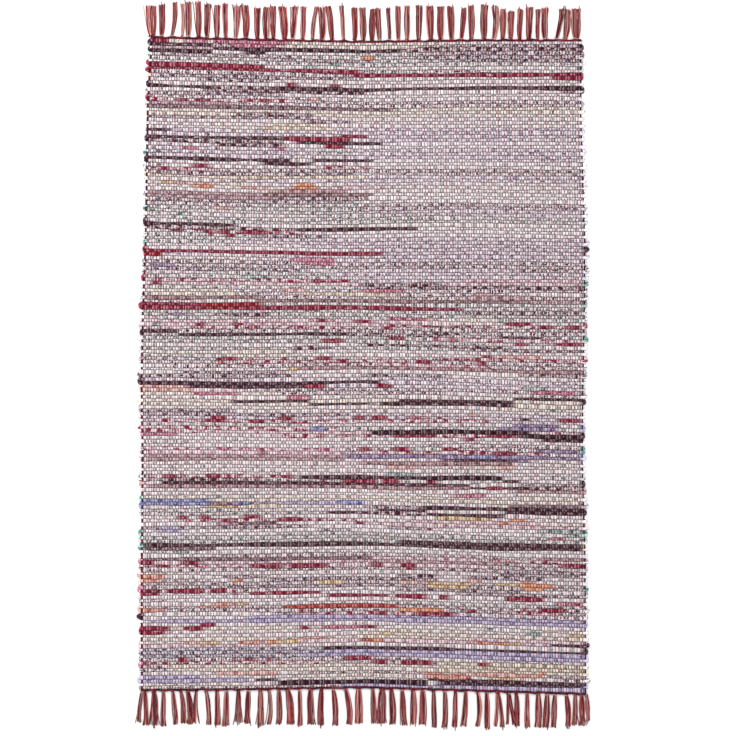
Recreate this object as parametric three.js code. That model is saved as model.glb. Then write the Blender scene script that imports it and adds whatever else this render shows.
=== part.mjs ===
// A flat-woven rag kilim, lying flat on the floor, with a fringe at both ends. Millimetres.
//
// The cloth is one flat piece. Rolled rags are woven as weft through a close, thin warp, so its
// face is a row of low ribs that run from selvedge to selvedge, and each pair of rows ends in a
// small lump where the rag turns round the outer warp. A heading cord is twined through the warps
// along each end of the cloth, and past it the warps go on as the fringe, in tufts of three locks.
//
// The origin is on the floor under the rug's middle: +X runs across, +Y along the rug, +Z up.
import * as THREE from "three";

// The rows of rag weft in the cloth, counted from its near end to its far one, and the heights of
// a rib's crest and of the groove beside it.
const WEFT_ROWS = 188;
const CREST_HEIGHT = 5.6;
const CREST_UNEVENNESS = 0.8;
const GROOVE_HEIGHT = 4.2;
const BREADTH_STEPS = 4;

// A row wanders this far off its straight line at the middle of the cloth, in a slow wave.
const ROW_WANDER = 3;
const ROWS_IN_WAVE = 9;
const BREADTH_IN_WAVE = 7;

// A rag's turn round the outer warp stands out of the selvedge by at least this, and by up to
// the extra reach more.
const TURN_REACH = 3;
const TURN_EXTRA_REACH = 9;

// The outer warps, which wander a little from the near end of the cloth to the far one.
const SELVEDGES = [
  { row: 0, left: -600, right: 600 },
  { row: 38, left: -600, right: 599 },
  { row: 67, left: -598, right: 591 },
  { row: 88, left: -601, right: 593 },
  { row: 110, left: -597, right: 597 },
  { row: 130, left: -590, right: 598 },
  { row: 168, left: -584, right: 587 },
  { row: 188, left: -573, right: 588 },
];

// The cloth's two ends, which were beaten a little unevenly.
const ENDS = [
  { across: -620, near: -873, far: 884 },
  { across: -300, near: -870, far: 876 },
  { across: 0, near: -865, far: 870 },
  { across: 300, near: -874, far: 874 },
  { across: 620, near: -884, far: 874 },
];

// The heading cord lies beside the cloth's end with a hair's breadth between them.
const CLEARANCE = 0.3;
const HEADING_BREADTH = 5;
const HEADING_HEIGHT = 5;

// The fringe is trimmed to a line this far from the rug's middle, less an uneven cut. Its tufts
// are evenly spaced but for a small shift, and lean one way and the other by turns.
const FRINGE_REACH = 977;
const UNEVEN_CUT = 13;
const TUFTS_AT_NEAR_END = 46;
const TUFTS_AT_FAR_END = 45;
const OUTER_TUFT_INSET = 8;
const TUFT_SHIFT = 2;
const TUFT_LEAN = 6;
const ODD_LEAN = 2;
const TUFTS_IN_LEAN = 2.2;

// A tuft is three locks, counted from right to left. A lock is drawn from its root through its
// middle to its tip: how far along that is, how far apart the locks lie there, and how broad and
// high a lock is.
const LOCKS = [1, 0, -1];
const LOCK_SHAPE = [
  { share: 0, spread: 3.8, breadth: 3.2, height: HEADING_HEIGHT },
  { share: 0.5, spread: 4.6, breadth: 3.9, height: 3.6 },
  { share: 1, spread: 5.2, breadth: 2.8, height: 2.4 },
];

// A fixed scatter from 0 to 1, so that each row, turn and lock is a little different.
function scatter(seed) {
  const wave = Math.sin(seed * 12.9898) * 43758.5453;
  return wave - Math.floor(wave);
}

// The value of a table's column at a place between its rows, which are ordered by the key column.
function between(table, key, column, place) {
  const found = table.findIndex((row) => row[key] >= place);
  const upper = found === -1 ? table.length - 1 : Math.max(found, 1);
  const [low, high] = [table[upper - 1], table[upper]];
  const share = (place - low[key]) / (high[key] - low[key]);
  return THREE.MathUtils.lerp(low[column], high[column], share);
}

// How far a rag's turn stands out of a selvedge. The left turns join rows 1 and 2, 3 and 4 and so
// on, and the right ones the rows between. The rag's two ends are tucked in, so it has no turn there.
function turnReach(side, row) {
  const phase = side === "left" ? row / 2 : (row + 1) / 2;
  const turn = Math.floor(phase);
  if (side === "right" && (turn < 1 || turn >= WEFT_ROWS / 2)) return 0;
  const reach = TURN_REACH + TURN_EXTRA_REACH * scatter(side === "left" ? turn : -turn) ** 2;
  return reach * Math.sin(Math.PI * (phase - turn));
}

// The place on the floor of a point of the cloth: its row, and its share of the way across.
function clothPlace(row, share) {
  const left = between(SELVEDGES, "row", "left", row) - turnReach("left", row);
  const right = between(SELVEDGES, "row", "right", row) + turnReach("right", row);
  const across = THREE.MathUtils.lerp(left, right, share);
  const near = between(ENDS, "across", "near", across);
  const far = between(ENDS, "across", "far", across);
  const inside = Math.sin((Math.PI * row) / WEFT_ROWS) * Math.sin(Math.PI * share);
  const wave = Math.sin(row / ROWS_IN_WAVE + BREADTH_IN_WAVE * share);
  const along = THREE.MathUtils.lerp(near, far, row / WEFT_ROWS) + ROW_WANDER * inside * wave;
  return { across, along };
}

// How high the cloth's upper face is at a place along it: low in the groove that parts two rows,
// and high over the middle of a row.
function ribHeight(row) {
  const groove = Math.round(row);
  if (Math.abs(row - groove) < 0.25) return GROOVE_HEIGHT;
  return CREST_HEIGHT + CREST_UNEVENNESS * (scatter(Math.floor(row)) - 0.5);
}

// The cloth is a box as broad and as high as 1 and as long as its rows, with two steps to a row.
// Each point is then put in its place, and those of the upper face are raised to the ribs.
function clothGeometry() {
  const cloth = new THREE.BoxGeometry(1, WEFT_ROWS, 1, BREADTH_STEPS, 2 * WEFT_ROWS, 1);
  cloth.translate(0.5, WEFT_ROWS / 2, 0.5);
  const points = cloth.getAttribute("position");
  for (let i = 0; i < points.count; i++) {
    const row = points.getY(i);
    const place = clothPlace(row, points.getX(i));
    points.setXYZ(i, place.across, place.along, points.getZ(i) * ribHeight(row));
  }
  cloth.computeVertexNormals();
  return cloth;
}

// The corners of the cloth's edge at one end, from its left selvedge to its right one.
function clothEnd(row) {
  const corners = [];
  for (let step = 0; step <= BREADTH_STEPS; step++) {
    corners.push(clothPlace(row, step / BREADTH_STEPS));
  }
  return corners;
}

// How far along the rug the heading cord's outer edge lies, at a place across it. Outward is 1 at
// the far end and -1 at the near one.
function headingEdge(row, outward, across) {
  return between(clothEnd(row), "across", "along", across) + outward * (CLEARANCE + HEADING_BREADTH);
}

// A lock's outline seen from above: up its right side from the root and down its left one.
function lockOutline(root, tip, lean, number) {
  const corner = (shape, side) => {
    const middle = root.across + number * shape.spread + lean * shape.share;
    const along = THREE.MathUtils.lerp(root.along, tip, shape.share);
    return new THREE.Vector2(middle + (side * shape.breadth) / 2, along);
  };
  const rightSide = LOCK_SHAPE.map((shape) => corner(shape, 1));
  const leftSide = LOCK_SHAPE.map((shape) => corner(shape, -1));
  return [...rightSide, ...leftSide.reverse()];
}

// The outline of a heading cord and its locks seen from above: along the cord beside the cloth
// from left to right, and back along its outer edge, out and in round each lock.
function fringeOutline(row, outward, tufts) {
  const end = clothEnd(row);
  const outline = end.map((corner) => new THREE.Vector2(corner.across, corner.along + outward * CLEARANCE));
  const [left, right] = [end[0].across, end[BREADTH_STEPS].across];
  outline.push(new THREE.Vector2(right, headingEdge(row, outward, right)));
  for (let tuft = tufts - 1; tuft >= 0; tuft--) {
    const seed = row + tuft;
    const outer = tuft === 0 || tuft === tufts - 1;
    const shift = outer ? 0 : TUFT_SHIFT * (2 * scatter(seed) - 1);
    const lean = TUFT_LEAN * Math.sin(tuft / TUFTS_IN_LEAN) + ODD_LEAN * (2 * scatter(-seed) - 1);
    const share = tuft / (tufts - 1);
    const across = THREE.MathUtils.lerp(left + OUTER_TUFT_INSET, right - OUTER_TUFT_INSET, share) + shift;
    for (const number of LOCKS) {
      const along = headingEdge(row, outward, across + number * LOCK_SHAPE[0].spread);
      const tip = outward * (FRINGE_REACH - UNEVEN_CUT * scatter(seed + number / 4));
      outline.push(...lockOutline({ across, along }, tip, lean, number));
    }
  }
  outline.push(new THREE.Vector2(left, headingEdge(row, outward, left)));
  return outline;
}

// A fringe is its outline raised by 1, with each upper point then let down to its lock's height.
function fringeGeometry(row, outward, tufts) {
  const outline = new THREE.Shape(fringeOutline(row, outward, tufts));
  const fringe = new THREE.ExtrudeGeometry(outline, { depth: 1, bevelEnabled: false });
  const points = fringe.getAttribute("position");
  for (let i = 0; i < points.count; i++) {
    const root = outward * headingEdge(row, outward, points.getX(i));
    const share = (outward * points.getY(i) - root) / (FRINGE_REACH - root);
    const height = between(LOCK_SHAPE, "share", "height", THREE.MathUtils.clamp(share, 0, 1));
    points.setZ(i, points.getZ(i) * height);
  }
  fringe.computeVertexNormals();
  return fringe;
}

// The warps are dark red, orange and beige, and most of the rags are pale prints, which read as
// a greyish pink from a step away and as brick red in the fringe.
const RAG_WEAVE = new THREE.MeshStandardMaterial({ color: 0xb9a7ab, roughness: 0.95, metalness: 0 });
const WARP_YARN = new THREE.MeshStandardMaterial({ color: 0x8d4e4b, roughness: 0.9, metalness: 0 });

function piece(name, geometry, material) {
  const mesh = new THREE.Mesh(geometry, material);
  mesh.name = name;
  return mesh;
}

const rug = new THREE.Group();
rug.add(piece("rug_cloth", clothGeometry(), RAG_WEAVE));
rug.add(piece("near_fringe", fringeGeometry(0, -1, TUFTS_AT_NEAR_END), WARP_YARN));
rug.add(piece("far_fringe", fringeGeometry(WEFT_ROWS, 1, TUFTS_AT_FAR_END), WARP_YARN));

export default rug;
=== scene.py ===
# A flat-woven rag kilim with a fringe at both ends, lying flat and seen from straight above.
# Everything is in metres, +X across the rug and +Y along it. A name that ends in _MM holds millimetres,
# and one that ends in _PX holds pixels of the photograph.
import math

import bpy
import numpy as np
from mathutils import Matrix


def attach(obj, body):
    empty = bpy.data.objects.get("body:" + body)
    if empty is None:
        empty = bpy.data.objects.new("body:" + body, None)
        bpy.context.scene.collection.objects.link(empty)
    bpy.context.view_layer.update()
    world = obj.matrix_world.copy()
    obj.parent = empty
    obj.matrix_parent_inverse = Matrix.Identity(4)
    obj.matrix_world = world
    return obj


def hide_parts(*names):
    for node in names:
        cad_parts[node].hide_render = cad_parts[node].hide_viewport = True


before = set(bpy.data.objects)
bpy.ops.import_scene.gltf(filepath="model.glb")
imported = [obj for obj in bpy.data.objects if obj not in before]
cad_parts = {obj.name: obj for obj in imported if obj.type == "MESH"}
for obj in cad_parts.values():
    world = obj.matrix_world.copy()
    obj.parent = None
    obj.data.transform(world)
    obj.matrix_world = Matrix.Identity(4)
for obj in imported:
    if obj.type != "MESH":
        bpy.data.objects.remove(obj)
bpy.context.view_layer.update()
bpy.ops.object.select_all(action="DESELECT")

# The ground plan of the weave
# The cloth is 188 rows of rag and 574 warps between two selvedges that wander a little, and its ends
# were beaten unevenly. It is the plan of the part's own source, so the weave lies on its solid.
MM = 0.001
WEFT_ROWS = 188
WARPS = 574
ROW_WANDER_MM = 3.0
ROWS_IN_WAVE = 9.0
BREADTH_IN_WAVE = 7.0
SELVEDGE_ROW = [0, 38, 67, 88, 110, 130, 168, 188]
LEFT_SELVEDGE_MM = [-600, -600, -598, -601, -597, -590, -584, -573]
RIGHT_SELVEDGE_MM = [600, 599, 591, 593, 597, 598, 587, 588]
END_ACROSS_MM = [-620, -300, 0, 300, 620]
NEAR_END_MM = [-873, -870, -865, -874, -884]
FAR_END_MM = [884, 876, 870, 874, 874]
ROW_PITCH_MM = (FAR_END_MM[2] - NEAR_END_MM[2]) / WEFT_ROWS
SCATTER_STEP = 12.9898
SCATTER_SCALE = 43758.5453


def scatter(seed):
    """A fixed scatter from 0 to 1."""
    wave = np.sin(np.asarray(seed, float) * SCATTER_STEP) * SCATTER_SCALE
    return wave - np.floor(wave)


def weave_place(row, share):
    """Where a point of the weave lies on the floor, in mm, from its row and its share of the way across."""
    left = np.interp(row, SELVEDGE_ROW, LEFT_SELVEDGE_MM)
    right = np.interp(row, SELVEDGE_ROW, RIGHT_SELVEDGE_MM)
    across = left + (right - left) * share
    near = np.interp(across, END_ACROSS_MM, NEAR_END_MM)
    far = np.interp(across, END_ACROSS_MM, FAR_END_MM)
    inside = np.sin(np.pi * row / WEFT_ROWS) * np.sin(np.pi * share)
    wave = np.sin(row / ROWS_IN_WAVE + BREADTH_IN_WAVE * share)
    along = near + (far - near) * row / WEFT_ROWS + ROW_WANDER_MM * inside * wave
    return across, along


# The rags
# The weft is torn print and jersey offcuts, rolled and knotted end to end. A rag has a ground colour,
# a second colour that shows in dashes where the strip twists over, and small specks of its print.
RAGS = {
    # name: ground, dash colour, share in dashes, speck colour, share in specks, breadth
    "cream": ("fffafc", "e8dce2", 0.31, "858089", 0.19, 1.02),
    "white": ("fffcff", "eae1e8", 0.28, "a398a3", 0.20, 1.04),
    "leaf": ("faf6f8", "c9d2d0", 0.37, "3f6562", 0.33, 1.02),
    "pepper": ("fcf5fa", "c6bcc6", 0.38, "28232e", 0.38, 1.00),
    "rose": ("fdedf3", "deb9c8", 0.34, "95506a", 0.22, 1.02),
    "lilac": ("faf3fb", "ccc2d6", 0.34, "5f5266", 0.25, 1.00),
    "sand": ("fefaf3", "e4d8cc", 0.34, "857a78", 0.22, 1.01),
    "stone": ("f8f1f5", "bdb1b9", 0.38, "3a323b", 0.36, 0.99),
    "crimson": ("a2284a", "7c1838", 0.32, "d08ea0", 0.22, 1.08),
    "crimson print": ("aa3052", "e6c3cd", 0.24, "6c1832", 0.34, 1.06),
    "scarlet": ("a81c2c", "86182b", 0.30, "d87c70", 0.12, 1.06),
    "crimson dashes": ("f8edf2", "aa2a50", 0.46, "7f6674", 0.22, 0.99),
    "pink": ("d27f9a", "b84b73", 0.42, "f6e0e8", 0.34, 0.98),
    "pink dashes": ("f8edf3", "bf587f", 0.43, "a18592", 0.22, 0.98),
    "dark": ("452a3a", "25161f", 0.42, "b08595", 0.27, 0.92),
    "broad dark": ("3c2233", "20121b", 0.42, "a67b8b", 0.22, 1.28),
    "plum": ("4f3041", "2c1924", 0.42, "b58a99", 0.26, 0.68),
    "thin dark": ("5a3d4d", "d9cad2", 0.24, "20141c", 0.32, 0.68),
    "dark dashes": ("e8dee4", "3a2631", 0.50, "6a5a64", 0.34, 0.93),
    "dark specks": ("ece3ea", "93879b", 0.38, "2c2531", 0.42, 0.96),
    "umber": ("563a48", "35222c", 0.46, "b0959f", 0.26, 1.04),
    "dusk": ("947986", "634b58", 0.46, "dccad0", 0.30, 0.98),
    "slate": ("e6e4ee", "8d8a9f", 0.40, "3a3644", 0.33, 1.00),
    "mauve": ("ccadb4", "9c7c86", 0.46, "f6eaee", 0.33, 0.97),
    "brown": ("b29395", "7c6166", 0.46, "d2bfbf", 0.28, 0.95),
    "olive": ("fcf6ea", "dad0b8", 0.42, "8c8470", 0.20, 1.00),
    "red brown": ("cba5aa", "936a76", 0.46, "e4d3d0", 0.30, 0.97),
    "lavender": ("cfc8ea", "9d96c6", 0.42, "efe9f6", 0.30, 1.00),
    "violet": ("ac9cc2", "705e90", 0.44, "dcd2e4", 0.30, 0.96),
    "blue": ("a4addb", "6876b2", 0.46, "e3e5f2", 0.24, 1.00),
    "teal": ("d4dfdd", "5a9690", 0.44, "3c6061", 0.26, 0.99),
    "mustard": ("f1dcb2", "cda462", 0.44, "f4e9d7", 0.26, 1.00),
    "orange": ("f2a87e", "db7d52", 0.44, "f6dbc8", 0.28, 1.03),
    "coral": ("f4cfca", "da9a94", 0.44, "f8ecea", 0.30, 1.00),
    "salmon": ("efb2a2", "d0715e", 0.44, "f7e2da", 0.28, 1.03),
    "vermilion": ("cc5445", "b0303a", 0.42, "eab09a", 0.24, 1.00),
}

# How often each of the pale rags was picked up between the charted ones.
PLAIN_RAGS = {
    "cream": 7, "white": 11, "leaf": 8, "pepper": 10, "rose": 6, "lilac": 6, "sand": 3, "stone": 6,
    "crimson dashes": 1, "dark specks": 1,
}

# The stripes were read off the photograph. Each has its height in the picture and where it
# starts and ends there, in pixels. A later one lies over an earlier one.
STRIPES = {
    "cream": [
        (206, 143, 250), (216, 143, 320), (245, 143, 300), (248, 143, 372), (257, 143, 300), (345, 143, 590),
        (351.5, 143, 590), (379.5, 400, 590), (397, 300, 590), (408.5, 300, 590), (424.5, 300, 590),
        (355, 300, 590), (397.5, 143, 300), (442, 195, 340), (463, 143, 300), (603, 143, 400),
        (294.8, 500, 590), (393, 440, 530), (466, 145, 300), (470, 143, 360), (473.5, 143, 360),
        (491, 143, 300), (572, 143, 585), (623.5, 148, 400), (629.5, 170, 590), (636.5, 143, 360),
        (643.5, 143, 250), (662.5, 430, 590), (672.5, 143, 300), (679.5, 250, 590),
    ],
    "sand": [
        (127, 205, 262), (172, 240, 330), (290, 143, 235), (294, 150, 240), (321, 437, 492), (352, 142, 300),
        (469, 470, 495), (356, 225, 290), (405, 142, 172), (409, 142, 178), (411, 500, 562), (524, 540, 585),
        (574, 143, 180), (633, 400, 470), (637, 380, 470), (666, 165, 440), (669.5, 170, 440),
        (676, 300, 420), (685, 145, 240),
    ],
    "leaf": [
        (57, 150, 260), (154, 310, 355), (205, 255, 376), (209, 143, 357), (212.5, 143, 370), (216, 322, 368),
        (242, 143, 240), (270, 143, 364), (276.5, 143, 372), (280, 143, 300), (287, 143, 380),
        (273, 200, 330), (317, 180, 215), (331, 500, 530), (336, 560, 590), (441, 143, 190), (448, 415, 445),
        (478, 545, 590), (554, 150, 200), (602, 385, 460), (606, 415, 525), (662, 500, 560),
    ],
    "teal": [
        (66, 305, 321), (66, 327, 340), (150, 152, 170), (209, 143, 158), (212, 175, 188), (276, 240, 265),
        (304, 418, 450), (324, 150, 160), (360, 180, 190), (388, 528, 545), (409, 549, 560), (474, 387, 416),
        (474, 462, 469), (495, 212, 222), (498, 244, 254), (533, 540, 590), (536, 565, 590), (551, 148, 158),
        (551, 178, 190), (606, 552, 560), (629, 482, 492), (632, 525, 540), (635, 527, 538),
    ],
    "olive": [
        (178.5, 143, 366), (128, 275, 335), (124.5, 275, 325), (185, 216, 245), (294, 300, 400),
        (508, 237, 285), (505, 208, 230), (584, 425, 467), (666, 440, 590), (669.5, 440, 590),
        (673, 440, 590), (630, 395, 410), (408, 378, 400),
    ],
    "mustard": [
        (128, 262, 275), (181.5, 158, 172), (190.5, 268, 318), (369, 287, 296), (508, 205, 231),
        (520, 440, 492), (583, 318, 346), (583, 400, 470), (587, 430, 468), (586, 495, 521), (605, 240, 252),
        (633, 378, 392), (632, 545, 556), (636, 567, 581), (641, 200, 222), (640, 274, 302), (643, 503, 520),
        (677, 488, 520),
    ],
    "dark specks": [
        (45, 420, 590), (52, 420, 590), (57, 144, 300), (58.5, 400, 590), (60.5, 260, 372), (62, 440, 590),
        (77, 144, 360), (80.5, 200, 270), (94.5, 144, 280), (98, 144, 260), (175, 143, 357),
        (202.2, 143, 357), (237.5, 255, 330), (485, 520, 590), (506.3, 368, 425), (527.5, 143, 310),
        (529, 386, 426), (571.5, 440, 590), (578.5, 466, 546), (595.5, 512, 590), (577.5, 222, 265),
        (586, 222, 335), (590.5, 400, 520), (595, 455, 512), (118, 143, 310), (121.5, 300, 357),
        (199.5, 143, 365), (268.5, 142, 300), (314, 462, 580), (376, 140, 295), (373, 180, 290),
        (376, 360, 450), (377, 520, 585), (411, 140, 230), (414, 140, 340), (577, 265, 440), (577, 500, 585),
        (586, 335, 400),
    ],
    "lavender": [
        (502.5, 252, 336), (531, 155, 182), (528, 160, 180), (616.5, 250, 590), (620, 148, 590),
        (623.5, 400, 590), (652.5, 330, 590), (656, 300, 590), (658, 400, 590), (677.5, 137, 200),
        (681, 137, 250), (684, 340, 400), (687.5, 400, 590),
    ],
    "violet": [
        (45, 230, 270), (264, 150, 175), (312, 165, 190), (426, 515, 560), (429, 500, 560), (453, 535, 590),
        (456.5, 340, 590), (460, 440, 530),
    ],
    "blue": [
        (428, 310, 325), (500, 143, 208), (503.5, 143, 208), (502, 232, 253), (503.5, 336, 368),
        (456, 470, 490),
    ],
    "coral": [
        (98, 305, 316), (181.5, 172, 212), (187.5, 243, 270), (190.5, 318, 330), (208, 213, 228),
        (290, 283, 305), (294, 470, 492), (320, 420, 440), (357, 500, 545), (387.5, 139, 190),
        (391, 139, 193), (468, 385, 412), (466, 495, 512), (674.5, 440, 536), (582, 400, 425),
        (582, 467, 482), (641, 183, 200), (639, 302, 325), (638, 437, 443), (673, 215, 275), (300, 475, 490),
    ],
    "orange": [
        (60, 362, 372), (185, 190, 216), (188, 194, 214), (184, 296, 314), (187.5, 293, 317), (413, 468, 476),
        (507, 232, 238), (521, 512, 526), (523, 500, 512), (579, 233, 245), (585, 520, 553), (582, 521, 534),
        (588, 524, 546), (610, 400, 446), (640, 264, 275), (639, 369, 381), (643, 493, 504), (674, 536, 543),
    ],
    "mauve": [
        (48, 150, 260), (104, 146, 230), (110, 300, 372), (192, 146, 275), (195.5, 146, 275), (561, 372, 500),
        (302, 520, 590), (298, 462, 525), (456, 143, 345), (459, 150, 345), (524, 215, 240),
    ],
    "dusk": [
        (107, 146, 392), (547.5, 139, 215), (559.5, 139, 235), (559.5, 235, 372), (505.5, 508, 590),
        (524, 236, 275),
    ],
    "brown": [
        (195.5, 265, 372), (298, 143, 262), (301, 258, 462), (301, 462, 525), (502, 212, 231),
        (611, 142, 168),
    ],
    "red brown": [
        (191.5, 272, 345), (368.5, 296, 590), (371.5, 540, 590), (465, 478, 512), (492.5, 512, 590),
        (464, 360, 512), (486, 150, 300), (488, 300, 490), (558, 540, 590),
    ],
    "umber": [(544.3, 139, 400), (544.9, 400, 590), (548.4, 385, 590), (477.2, 297, 380)],
    "slate": [(530, 320, 350), (649, 140, 325), (652.5, 140, 330), (656, 140, 300)],
    "pink": [
        (42, 186, 206), (42, 213, 290), (45, 225, 275), (148, 182, 196), (146, 212, 247), (148, 272, 287),
        (259.5, 288, 336), (262.5, 300, 336), (537, 550, 568), (603.5, 553, 585), (291, 360, 405),
        (320, 388, 425), (339.7, 430, 500), (394, 195, 240), (396, 290, 312), (394, 530, 575),
        (418, 410, 425), (433, 139, 175), (449, 310, 330), (497, 455, 487), (627, 322, 372),
    ],
    "crimson dashes": [
        (101, 150, 290), (167, 150, 212), (165.5, 284, 304), (168, 320, 372), (233, 172, 300),
        (281, 154, 350), (327, 195, 350), (327, 380, 585), (361, 215, 412), (361, 440, 585), (421, 150, 360),
        (420, 370, 500), (452, 362, 540), (475, 150, 292), (519, 175, 362), (565, 139, 200), (563, 490, 570),
        (613, 297, 460), (613, 500, 560), (662, 137, 330), (629, 137, 160), (591, 139, 240),
    ],
    "rose": [(452.5, 143, 345), (565, 372, 490), (433, 197, 372), (391, 193, 250), (187, 330, 388)],
    "pink dashes": [(565, 200, 372), (342, 440, 590), (365, 380, 480), (449, 143, 345)],
    "dark dashes": [
        (45, 150, 235), (88, 157, 290), (115, 235, 310), (141.5, 148, 285), (144.5, 213, 285),
        (284, 360, 445), (288, 365, 590), (315, 215, 270), (334, 345, 450), (348, 290, 330), (347, 360, 510),
        (403, 345, 400), (478, 155, 230), (227.3, 143, 300), (334.2, 425, 465), (488, 530, 590),
        (513.5, 370, 430), (577, 400, 440), (652, 440, 590), (90, 205, 295), (93, 240, 370), (48.5, 400, 590),
        (92, 565, 590),
    ],
    "thin dark": [
        (45, 150, 213), (86.5, 165, 215), (129, 146, 172), (137, 150, 285), (157.5, 146, 192),
        (160.9, 238, 290), (164.3, 262, 315), (223.3, 155, 238), (652.6, 546, 590), (680, 255, 277),
        (332, 143, 180), (334, 175, 260), (334, 283, 350), (338, 500, 542), (481.5, 160, 300),
        (485.3, 375, 470), (487.5, 470, 532), (513.5, 325, 372), (509.5, 375, 425), (462, 440, 512),
        (386.5, 190, 302), (401.5, 232, 250), (403.5, 308, 372), (404.5, 388, 516),
    ],
    "dark": [
        (50.5, 150, 210), (50.5, 213, 260), (53, 245, 266), (50.5, 258, 400), (84, 144, 168), (90, 270, 400),
        (88.5, 540, 590), (144, 295, 385), (159.3, 190, 240), (161, 312, 372), (223.3, 140, 156),
        (514.3, 505, 590), (228.7, 295, 416), (335, 257, 285), (402, 380, 402), (418, 518, 530),
        (440, 540, 590), (477.4, 380, 420), (481, 503, 518), (509.5, 422, 590), (648, 320, 455),
        (682, 425, 590),
    ],
    "broad dark": [(433.3, 368, 530), (436, 522, 590), (479.4, 420, 505), (680.8, 276, 425)],
    "plum": [
        (383, 137, 380), (402.5, 247, 312), (401.5, 396, 515), (399.8, 515, 590), (484, 285, 375),
        (88.5, 400, 540), (514.8, 425, 505), (650, 455, 552), (647, 552, 590), (686, 440, 590),
    ],
    "salmon": [
        (578, 137, 166), (581, 137, 158), (604, 215, 240), (607, 195, 225), (640, 240, 262), (643, 470, 495),
        (674, 423, 440), (677, 428, 470), (677, 520, 543), (609.5, 139, 165),
    ],
    "vermilion": [(605.5, 280, 372), (607.5, 368, 402), (640, 363, 369)],
    "crimson print": [
        (72, 268, 360), (75, 400, 545), (78, 552, 590), (139.5, 283, 352), (564.6, 252, 285),
        (565.5, 290, 325), (567.8, 403, 416), (566, 157, 172), (564.5, 182, 197), (308, 330, 462),
        (322, 356, 372), (340, 320, 345), (340, 447, 454), (345, 552, 583), (563, 139, 156), (567, 560, 590),
        (591, 168, 203), (594, 247, 310), (594, 327, 386), (595, 393, 426), (600, 507, 545), (613, 418, 455),
        (612, 541, 566), (629, 139, 172), (632, 139, 168), (627, 183, 206), (626, 297, 311), (661, 397, 431),
        (659, 345, 370), (451, 443, 460), (520, 276, 304), (516, 246, 261), (475, 166, 176),
    ],
    "crimson": [
        (40, 150, 172), (65, 144, 268), (68.5, 144, 280), (75, 352, 400), (74.5, 545, 590), (84, 287, 296),
        (84, 330, 342), (101, 178, 187), (101, 192, 204), (101, 257, 268), (136.5, 340, 366), (147, 323, 345),
        (167, 157, 171), (167, 191, 207), (231, 172, 180), (231, 203, 211), (234, 206, 214), (231, 221, 229),
        (234, 225, 234), (231, 242, 254), (234, 252, 270), (234, 272, 281), (322, 314, 328), (250, 139, 170),
        (253, 139, 384), (256, 139, 165), (281, 153, 160), (281, 310, 322), (281, 340, 350),
        (304.5, 139, 262), (308, 139, 340), (324, 192, 204), (325, 233, 244), (327, 381, 391),
        (327, 424, 441), (325, 507, 516), (325, 518, 531), (328, 540, 556), (327, 565, 580), (338, 388, 404),
        (343, 515, 527), (359, 218, 237), (358, 280, 287), (357, 318, 333), (361, 337, 346), (359, 474, 480),
        (359, 484, 491), (363, 413, 430), (364, 478, 486), (384.5, 378, 395), (386.5, 302, 324),
        (418.5, 209, 228), (421.5, 206, 228), (423, 248, 264), (419, 277, 293), (418, 355, 363),
        (418, 372, 388), (418, 434, 442), (422, 560, 580), (437, 395, 435), (438, 462, 476), (437, 485, 516),
        (451, 258, 267), (450, 360, 368), (450, 393, 408), (454, 494, 512), (477, 207, 222), (476, 283, 292),
        (481, 320, 327), (481, 345, 378), (481, 384, 398), (481, 425, 438), (490, 488, 504), (516, 177, 190),
        (519, 180, 189), (516, 199, 213), (520, 220, 235), (521, 315, 323), (522, 355, 363), (528, 427, 433),
        (565, 372, 383), (566, 400, 416), (591, 139, 162), (594, 140, 160), (591, 212, 228), (594, 232, 240),
        (594, 313, 324), (597, 437, 448), (612, 297, 307), (613, 376, 389), (612, 467, 476), (611, 520, 529),
        (626, 200, 216), (626, 360, 376), (662, 139, 150), (659, 178, 188), (659, 243, 257), (659, 264, 271),
        (660, 374, 388), (665, 480, 490),
    ],
    "scarlet": [(68.5, 226, 262), (304.5, 200, 262), (308, 205, 235), (253, 143, 165)],
}

# The turns of a rag that show against the floor: their heights in the picture, in pixels, by rag.
LEFT_TURNS = {
    "dark": (44, 84, 136, 156, 224, 332, 382, 545, 613), "teal": (58, 151, 209, 240, 496, 531, 550),
    "crimson": (67, 97, 252, 279, 305, 631), "coral": (78, 391, 482, 578), "pink": (563, 592, 664),
    "stone": (104, 300, 455), "blue": (503,), "lavender": (680,),
}
RIGHT_TURNS = {
    "dark": (47, 249, 401, 436, 483, 649, 687), "teal": (66, 282, 308, 337, 387, 450, 534, 592),
    "stone": (509, 563, 613), "lavender": (428, 457, 624, 656, 684), "sand": (550, 668),
}

# How broad a pixel is on the floor, and which pixel shows the middle of the rug.
PIXEL_MM = 2.6966
RUG_MIDDLE_PX = (363.5, 365.5)

# The rag is drawn through stations, 81 to a row and five more round the outer warp. Even rows run from
# right to left. A pale rag lasts for 50 to 330 stations, and each piece is a little brighter or duller.
STATIONS_IN_ROW = 81
TURN_ANGLES = np.radians([-60, -30, 0, 30, 60])
STATIONS_PER_ROW = STATIONS_IN_ROW + len(TURN_ANGLES)
RUNS_LEFT = np.arange(WEFT_ROWS)[:, None] % 2 == 0
RAG_LENGTHS = (50, 330)
PLAIN_BRIGHTNESS = (0.93, 1.03)
STRIPE_BRIGHTNESS = (0.94, 1.04)
RAG_NAMES = list(RAGS)
DICE_SEED = 11


def linear(codes):
    """The linear red, green and blue of hexadecimal colour codes, by the sRGB rule."""
    shown = np.array([[int(code[i:i + 2], 16) for i in (0, 2, 4)] for code in codes]) / 255
    return np.where(shown < 0.04045, shown / 12.92, ((shown + 0.055) / 1.055) ** 2.4)


def picture_place(row, share):
    """A point of the weave in the photograph's pixels."""
    across, along = weave_place(row, share)
    return RUG_MIDDLE_PX[0] + across / PIXEL_MM, RUG_MIDDLE_PX[1] - along / PIXEL_MM


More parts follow.
